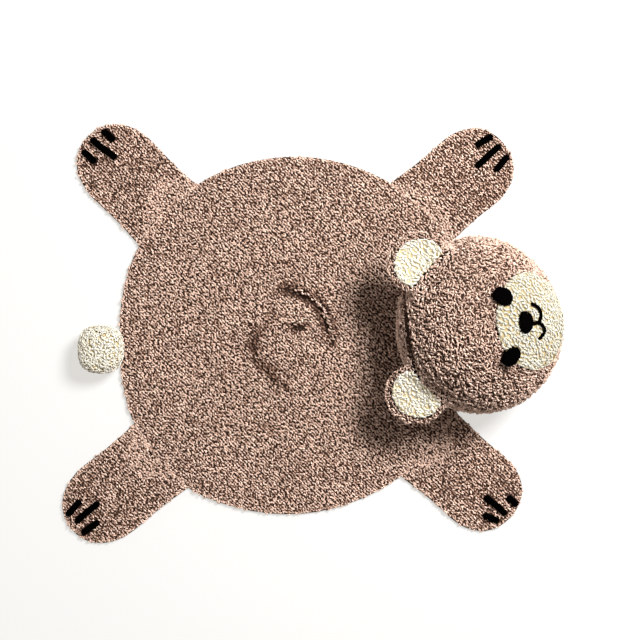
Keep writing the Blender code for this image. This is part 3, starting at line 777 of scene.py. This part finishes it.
def satin(node, outward, ahead, pitch, sunk):
    """Long stitches side by side over a low solid, all in one direction, in place of it."""
    skin = skins[node]
    middle = Vector(skin["points"].mean(axis=0))
    across = outward.cross(ahead).normalized()
    ahead = across.cross(outward).normalized()
    local = skin["points"] - np.array(middle)
    wide = np.abs(local @ np.array(across)).max()
    long = np.abs(local @ np.array(ahead)).max()
    lines = max(1, round((wide * 2 - STITCH_GIRTH) / pitch))
    steps = max(8, int(2 * long / STITCH_STEP))
    spread = 2 * wide - 2 * STITCH_GIRTH * STITCH_EDGE
    routes = []
    for line in range(lines):
        aside = (line - (lines - 1) / 2) * spread / max(1, lines - 1)
        route = []
        for step in range(steps + 1):
            spot = middle + across * aside + ahead * (long * (2 * step / steps - 1))
            hit = skin["tree"].ray_cast(spot + outward * STITCH_FROM, -outward)
            if hit[0] is not None and hit[1].dot(outward) > EDGE_FACES:
                route.append((hit[0] - outward * STITCH_GIRTH * STITCH_SUNK, outward))
        if len(route) < 3:
            continue
        first, last = route[0][0] - outward * sunk, route[-1][0] - outward * sunk
        routes.append([(first, outward)] + route + [(last, outward)])
    stitches = strand_mesh(node + "_stitches", routes, STITCH_GIRTH)
    dress(stitches, black_yarn, "black_yarn", node)


CLAW_SUNK = 0.0022  # how far the ends of the stitches go down into the paw


def claw_direction(node):
    """The way a claw's bar runs."""
    points = skins[node]["points"][:, :2]
    spread = np.linalg.eigh(np.cov((points - points.mean(axis=0)).T))[1][:, -1]
    return Vector((spread[0], spread[1], 0))


for leg in LEG_HEADINGS:
    for number in (1, 2, 3):
        node = "claw_{}_{}".format(leg, number)
        satin(node, UP, claw_direction(node), STITCH_PITCH, CLAW_SUNK)

# ---------------------------------------------------------------------------------------------
# The tail: a small ball of cream boucle, firmly stuffed and sewn against the body's edge. Its
# curls lie flatter than the brown ones and leave hardly a gap between them.
# ---------------------------------------------------------------------------------------------

FLAT_YARN = 0.34  # the cream yarn's height for its width
cream_kind = {
    "tints": ((0.93, 0.92, 0.90), (0.98, 0.98, 0.97), WHITE),
    "knot_share": 0.29,
    "knot_scale": 210.0,
    "knot_height": 0.0009,
    "sheen": 0.1,
    "sheen_tint": (1.0, 0.97, 0.9),
    "soft": 0.7,
}
# The cream yarn: bright is its own colour; middle and deep are a golden painted shade lower down
# between the curls; the knots' golden colour is painted shade in their hollows.
cream_boucle = boucle(
    "cream_boucle",
    deep=(0.720, 0.550, 0.265),
    middle=(0.790, 0.732, 0.580),
    bright=(0.820, 0.795, 0.700),
    knot_painted_shade=(0.88, 0.74, 0.45),
    **cream_kind,
)
# The cream ground is golden: painted shade between the curls.
cream_backing = painted_shade_backing("cream_backing", (0.590, 0.445, 0.200), (0.720, 0.610, 0.380))

CREAM_SPACING = 0.0050
TAIL_GROUND = 0.0035  # how deep the tail's ground lies
TAIL_PEAK = (-0.0002, 0.0012)


def off_floor(points, outwards):
    """True on what doesn't lie on the floor."""
    return points[:, 2] > ABOVE_FLOOR


def cream_ground(node, depth, material=cream_backing):
    """The ground under the cream curls."""
    return dress(ground(node, depth=depth), material, "cream_boucle", node)


def cream_curls(node, places, seed, material=cream_boucle, **ways):
    """Curls of the cream yarn, flattened."""
    piece = curls(node + "_curls", places, seed, tall=FLAT_YARN, **ways)
    return dress(piece, material, "cream_boucle")


tail_ground = cream_ground("tail", TAIL_GROUND)
tail_places = scattered("tail", CREAM_SPACING, 51, off_floor)
cream_curls("tail", tail_places, 52, size=1.4, peak=TAIL_PEAK, calm=0.3)

# ---------------------------------------------------------------------------------------------
# The head: a ball of the brown cloth, stuffed firm, worked in rounds about the middle of the
# face. It rests on the body's edge and on the floor, and its nape has a shallow fold.
# ---------------------------------------------------------------------------------------------

HEAD_MIDDLE = Vector((0.382, 0.0245, 0.118))
HEAD_RADIUS = 0.172
FACE_TILT = 36  # of the face's axis from straight up, in degrees
FACE_TURN = 6  # of the face to the bear's left, in degrees
HEAD_PITCH = 0.0057  # between two rounds, and between two curls of a round
HEAD_PEAK = (-0.0030, 0.0017)
HEAD_FROM = 0.5  # a distance beyond the ball
ROUND_SHIFT = 0.37  # how far each round begins after the last, in curls
ROUND_JITTER = 0.3  # of a curl's place along its round, in pitches
ROUND_SWAY = 0.010  # of a curl's place across its round, in radians
# The nape's fold, given as the creases about the rug's middle are
NAPE = (
    {
        "deep": 0.0040,
        "wide": 0.0042,
        "raised": 0.0010,
        "line": (
            (0.2195, 0.1160, 0.2),
            (0.2195, 0.1014, 0.9),
            (0.2193, 0.0649, 1.0),
            (0.2235, 0.0173, 1.0),
            (0.2281, -0.0136, 1.0),
            (0.2346, -0.0425, 1.0),
            (0.2456, -0.0738, 1.0),
            (0.2558, -0.1019, 0.8),
            (0.2640, -0.1150, 0.2),
        ),
    },
)
NAPE_LOWEST = 0.09  # the fold is on the head's upper half only
STEEP_BELOW = 0.55  # where the ball faces up less than this, its curls stand out unevenly
STEEP_BLEND = 0.3  # how softly that begins
STEEP_LIFT = (-0.0012, 0.0016)


def turned(tilt, heading):
    """The direction at a tilt from straight up, towards a heading."""
    t, h = math.radians(tilt), math.radians(heading)
    return Vector((math.sin(t) * math.cos(h), math.sin(t) * math.sin(h), math.cos(t)))


face_axis = turned(FACE_TILT, FACE_TURN)
face_left = Vector((-math.sin(math.radians(FACE_TURN)), math.cos(math.radians(FACE_TURN)), 0))
face_up = face_axis.cross(face_left)


def filled(places, nodes, reach, rise):
    """The same places, raised where they come near other solids, to fill the seam between."""
    others = tree_of(nodes)
    raised = []
    for point, outward, along, lift in places:
        distance = others.find_nearest(point)[3]
        raised.append((point, outward, along, lift + rise * max(0.0, 1 - distance / reach)))
    return raised


def head_places():
    """Places in rounds about the face's axis, over the whole ball."""
    rng = np.random.default_rng(61)
    rounds = int(math.pi * HEAD_RADIUS / HEAD_PITCH)
    places = []
    for number in range(rounds + 1):
        tilt = math.pi * (number + 0.4) / (rounds + 0.8)
        count = max(3, round(2 * math.pi * HEAD_RADIUS * math.sin(tilt) / HEAD_PITCH))
        for i in range(count):
            mark = i + rng.uniform(-ROUND_JITTER, ROUND_JITTER) + ROUND_SHIFT * number
            turn = 2 * math.pi * mark / count
            lean = tilt + rng.uniform(-ROUND_SWAY, ROUND_SWAY)
            round_out = face_left * math.cos(turn) + face_up * math.sin(turn)
            direction = face_axis * math.cos(lean) + round_out * math.sin(lean)
            start = HEAD_MIDDLE + direction * HEAD_FROM
            point, outward = skins["head"]["tree"].ray_cast(start, -direction)[:2]
            if point is None:
                continue
            steep = min(1.0, max(0.0, STEEP_BELOW - outward.z) / STEEP_BLEND)
            on_nape = point.z > NAPE_LOWEST
            fold = float(creased(point.x, point.y, NAPE)[0]) if on_nape else 0.0
            lift = fold + rng.uniform(*STEEP_LIFT) * steep
            places.append((point, outward, CURL_LEAN, lift))
    places = filled(open_places(places), ("ear_left", "ear_right"), reach=0.020, rise=0.0065)
    return filled(places, ("muzzle",), reach=0.010, rise=0.0040)


head_ground = brown_ground("head")
head_all = sorted(head_places(), key=lambda place: place[0].y)
head_half = len(head_all) // 2
head_ways = {"size": 1.1, "peak": HEAD_PEAK, "calm": 0.3, "sides": 3}
brown_curls("head_curls_right", head_all[:head_half], 62, **head_ways)
brown_curls("head_curls_left", head_all[head_half:], 63, **head_ways)

# ---------------------------------------------------------------------------------------------
# The muzzle: a round patch of cream boucle, sewn on the upper front of the head. Its curls are
# larger and lie flatter than the brown ones, so that it looks knobbly and almost closed.
# ---------------------------------------------------------------------------------------------

PATCH_SPACING = 0.0056
PATCH_GROUND = 0.0026  # how deep the patch's ground lies
PATCH_PEAK = (-0.0004, 0.0011)
PATCH_FACES = 0.15  # what faces away from the head at least as squarely as this has curls

# The muzzle's ground is a darker gold: painted shade between its curls.
patch_backing = painted_shade_backing("patch_backing", (0.400, 0.295, 0.125), (0.500, 0.412, 0.245))
muzzle_ground = cream_ground("muzzle", PATCH_GROUND, patch_backing)


def faces_out(points, outwards):
    """True on the outer side of what is sewn to the head."""
    from_head = unit(points - np.array(HEAD_MIDDLE))
    return np.sum(from_head * outwards, axis=1) > PATCH_FACES


# The same cream yarn as the ears and the tail, coloured darker all over as painted shade, because
# the muzzle faces the key light more squarely; its deep colour and its knots are also painted
# shade between the curls.
patch_boucle_painted_shade = boucle(
    "patch_boucle_painted_shade",
    deep=(0.510, 0.385, 0.175),
    middle=(0.545, 0.508, 0.400),
    bright=(0.570, 0.552, 0.485),
    knot_painted_shade=(0.88, 0.72, 0.40),
    **cream_kind,
)
muzzle_places = scattered("muzzle", PATCH_SPACING, 71, faces_out)
cream_curls("muzzle", muzzle_places, 72, patch_boucle_painted_shade, size=1.5, peak=PATCH_PEAK, calm=0.5)

# ---------------------------------------------------------------------------------------------
# The eyes and the nose: spots of the black yarn in stitches laid side by side. The mouth is a
# line of the same yarn: two curves and a stem that meet under the nose.
# ---------------------------------------------------------------------------------------------

FEATURE_PITCH = 0.0027
FEATURE_SUNK = 0.0040  # how far the ends of the stitches go down into the patch

for node in ("eye_left", "eye_right", "nose"):
    outward = (Vector(skins[node]["points"].mean(axis=0)) - HEAD_MIDDLE).normalized()
    satin(node, outward, face_up, FEATURE_PITCH, FEATURE_SUNK)

# The mouth's curve and its stem, to the bear's left and up from the middle of the face
MOUTH_CURVE = (
    (0.0290, 0.0200),
    (0.0240, 0.0095),
    (0.0155, 0.0020),
    (0.0050, 0.0020),
    (-0.0065, 0.0075),
    (-0.0190, -0.0050),
    (-0.0280, -0.0010),
    (-0.0350, 0.0090),
)
MOUTH_STEM = ((-0.0063, 0.0238), (-0.0063, 0.0150), (-0.0065, 0.0060))
MOUTH_GIRTH = 0.0021
MOUTH_PAIR = 0.0031  # between the two strands of the line
MOUTH_RISE = 0.0014  # of their middles over the patch
MOUTH_SUNK = 0.006  # how far the line's ends go down into the patch
MOUTH_FROM = 0.05  # a distance over the whole patch
FACE_UNIT = 0.18  # the head's mean radius, which turns places on the face into angles
HEAD_REACH = Vector((0.178, 0.194, 0.152))  # of the head from its middle, along, across and up


def smooth_line(points, steps=4):
    """A line through the points, rounded between them."""
    ends = np.array([points[0], *points, points[-1]])
    line = []
    for a, b, c, d in zip(ends, ends[1:], ends[2:], ends[3:]):
        for t in np.arange(steps) / steps:
            line.append(
                b
                + (c - a) * t / 2
                + (2 * a - 5 * b + 4 * c - d) * t * t / 2
                + (3 * b - a - 3 * c + d) * t**3 / 2
            )
    return [Vector(spot) for spot in (*line, ends[-1])]


def on_face(spot):
    """The point over the patch and the outward direction at a place on the face."""
    across, up = spot / FACE_UNIT
    forward = math.sqrt(1 - across * across - up * up)
    direction = face_axis * forward + face_left * across + face_up * up
    outward = Vector([part / size for part, size in zip(direction, HEAD_REACH)]).normalized()
    start = HEAD_MIDDLE + direction * HEAD_REACH + outward * MOUTH_FROM
    point = skins["muzzle"]["tree"].ray_cast(start, -outward)[0]
    return point + outward * MOUTH_RISE, outward


mouth_strands = []
for line in (smooth_line(MOUTH_CURVE), smooth_line(MOUTH_STEM)):
    for hand in (-0.5, 0.5):
        route = []
        for i, spot in enumerate(line):
            run = (line[min(i + 1, len(line) - 1)] - line[max(i - 1, 0)]).normalized()
            route.append(on_face(spot + Vector((-run.y, run.x)) * MOUTH_PAIR * hand))
        first, last = route[0], route[-1]
        route.insert(0, (first[0] - first[1] * MOUTH_SUNK, first[1]))
        route.append((last[0] - last[1] * MOUTH_SUNK, last[1]))
        mouth_strands.append(route)
dress(strand_mesh("mouth_yarn", mouth_strands, MOUTH_GIRTH), black_yarn, "black_yarn", "mouth")

# ---------------------------------------------------------------------------------------------
# The ears: cupped discs of the brown cloth, sewn to the back of the head, each with a smaller
# disc of cream boucle inside.
# ---------------------------------------------------------------------------------------------

EAR_SPACING = 0.0046
EAR_LIFT = (-0.0008, 0.0020)
EAR_GROUND = 0.0032  # how deep an ear's ground lies
EAR_EDGE = 0.012  # the longest edge of its mesh
INNER_GROUND = 0.0018  # how deep the ground of the cream disc lies
INNER_PEAK = (-0.0008, 0.0016)
INNER_FACES = 0.1  # what faces up at least as squarely as this has curls


def everywhere(points, outwards):
    """True all over."""
    return np.full(len(points), True)


def inner_side(points, outwards):
    """True on the open side of an ear."""
    return outwards[:, 2] > INNER_FACES


for number, hand in enumerate(("left", "right")):
    node = "ear_" + hand
    ear_ground = brown_ground(node, depth=EAR_GROUND, longest=EAR_EDGE)
    ear_places = scattered(node, EAR_SPACING, 81 + number, everywhere, EAR_LIFT)
    ear_places = filled(ear_places, ("head",), reach=0.016, rise=0.0045)
    brown_curls(node + "_curls", ear_places, 83 + number, calm=0.3, sides=3)
    node = "ear_inner_" + hand
    inner_ground = cream_ground(node, INNER_GROUND)
    inner_places = scattered(node, CREAM_SPACING, 85 + number, inner_side)
    cream_curls(node, inner_places, 87 + number, size=1.5, peak=INNER_PEAK, calm=0.4)

# ---------------------------------------------------------------------------------------------
# The studio: a white floor, one large key light from ahead of the bear's left side, and a pale
# surround that is brightest near the floor. The camera looks straight down.
# ---------------------------------------------------------------------------------------------

FLOOR_HALF = 40.0  # half the floor's side
FLOOR_SHADE = (0.27, 0.27, 0.275, 1.0)
FLOOR_GLOW = 0.62  # how much light the floor gives of its own
FLOOR_GLOW_TINT = (1.0, 0.980, 0.940, 1.0)
KEY_TILT = 38.0  # of the key light from straight up, in degrees
KEY_HEADING = 43  # from the snout to the bear's left, in degrees
KEY_DISTANCE = 3.2
KEY_POWER = 180.0
KEY_SIZE = 1.05
SURROUND_TINT = (1.0, 0.95, 0.91)
SURROUND_STOPS = ((0.0, 0.95), (0.14, 0.95), (0.5, 0.28))  # (height, brightness)
CAMERA_PLACE = (0.045, 0.034, 2.2)
CAMERA_LENS = 55.0

floor_mesh = bpy.data.meshes.new("floor")
floor_signs = ((-1, -1), (1, -1), (1, 1), (-1, 1))
floor_corners = [(FLOOR_HALF * x, FLOOR_HALF * y, 0) for x, y in floor_signs]
floor_mesh.from_pydata(floor_corners, [], [(0, 1, 2, 3)])
floor = new_piece("floor", floor_mesh)
floor_paint = bpy.data.materials.new("floor_paint")
floor_paint.use_nodes = True
set_sockets(
    floor_paint.node_tree.nodes["Principled BSDF"],
    Base_Color=FLOOR_SHADE,
    Roughness=0.9,
    Emission_Color=FLOOR_GLOW_TINT,
    Emission_Strength=FLOOR_GLOW,
)
floor_mesh.materials.append(floor_paint)

key_data = bpy.data.lights.new("key", "AREA")
key_data.shape = "DISK"
key_data.size = KEY_SIZE
key_data.energy = KEY_POWER
key = new_piece("key", key_data)
key.location = turned(KEY_TILT, KEY_HEADING) * KEY_DISTANCE
key.rotation_mode = "QUATERNION"
key.rotation_quaternion = turned(KEY_TILT, KEY_HEADING).to_track_quat("Z", "Y")
key.visible_camera = False

surround = bpy.data.worlds.new("surround")
surround.use_nodes = True
surround_tree = surround.node_tree
sky = surround_tree.nodes["Background"]
sky_at = surround_tree.nodes.new("ShaderNodeTexCoord")
sky_height = surround_tree.nodes.new("ShaderNodeSeparateXYZ")
surround_tree.links.new(sky_at.outputs["Generated"], sky_height.inputs["Vector"])
sky_stops = [
    (height, tuple(bright * part for part in SURROUND_TINT)) for height, bright in SURROUND_STOPS
]
sky_colours = ramp(surround_tree, sky_height.outputs["Z"], sky_stops)
surround_tree.links.new(sky_colours.outputs["Color"], sky.inputs["Color"])
bpy.context.scene.world = surround

camera_data = bpy.data.cameras.new("camera")
camera_data.lens = CAMERA_LENS
camera = new_piece("camera", camera_data)
camera.location = CAMERA_PLACE
bpy.context.scene.camera = camera
bpy.context.scene.view_settings.view_transform = "Standard"
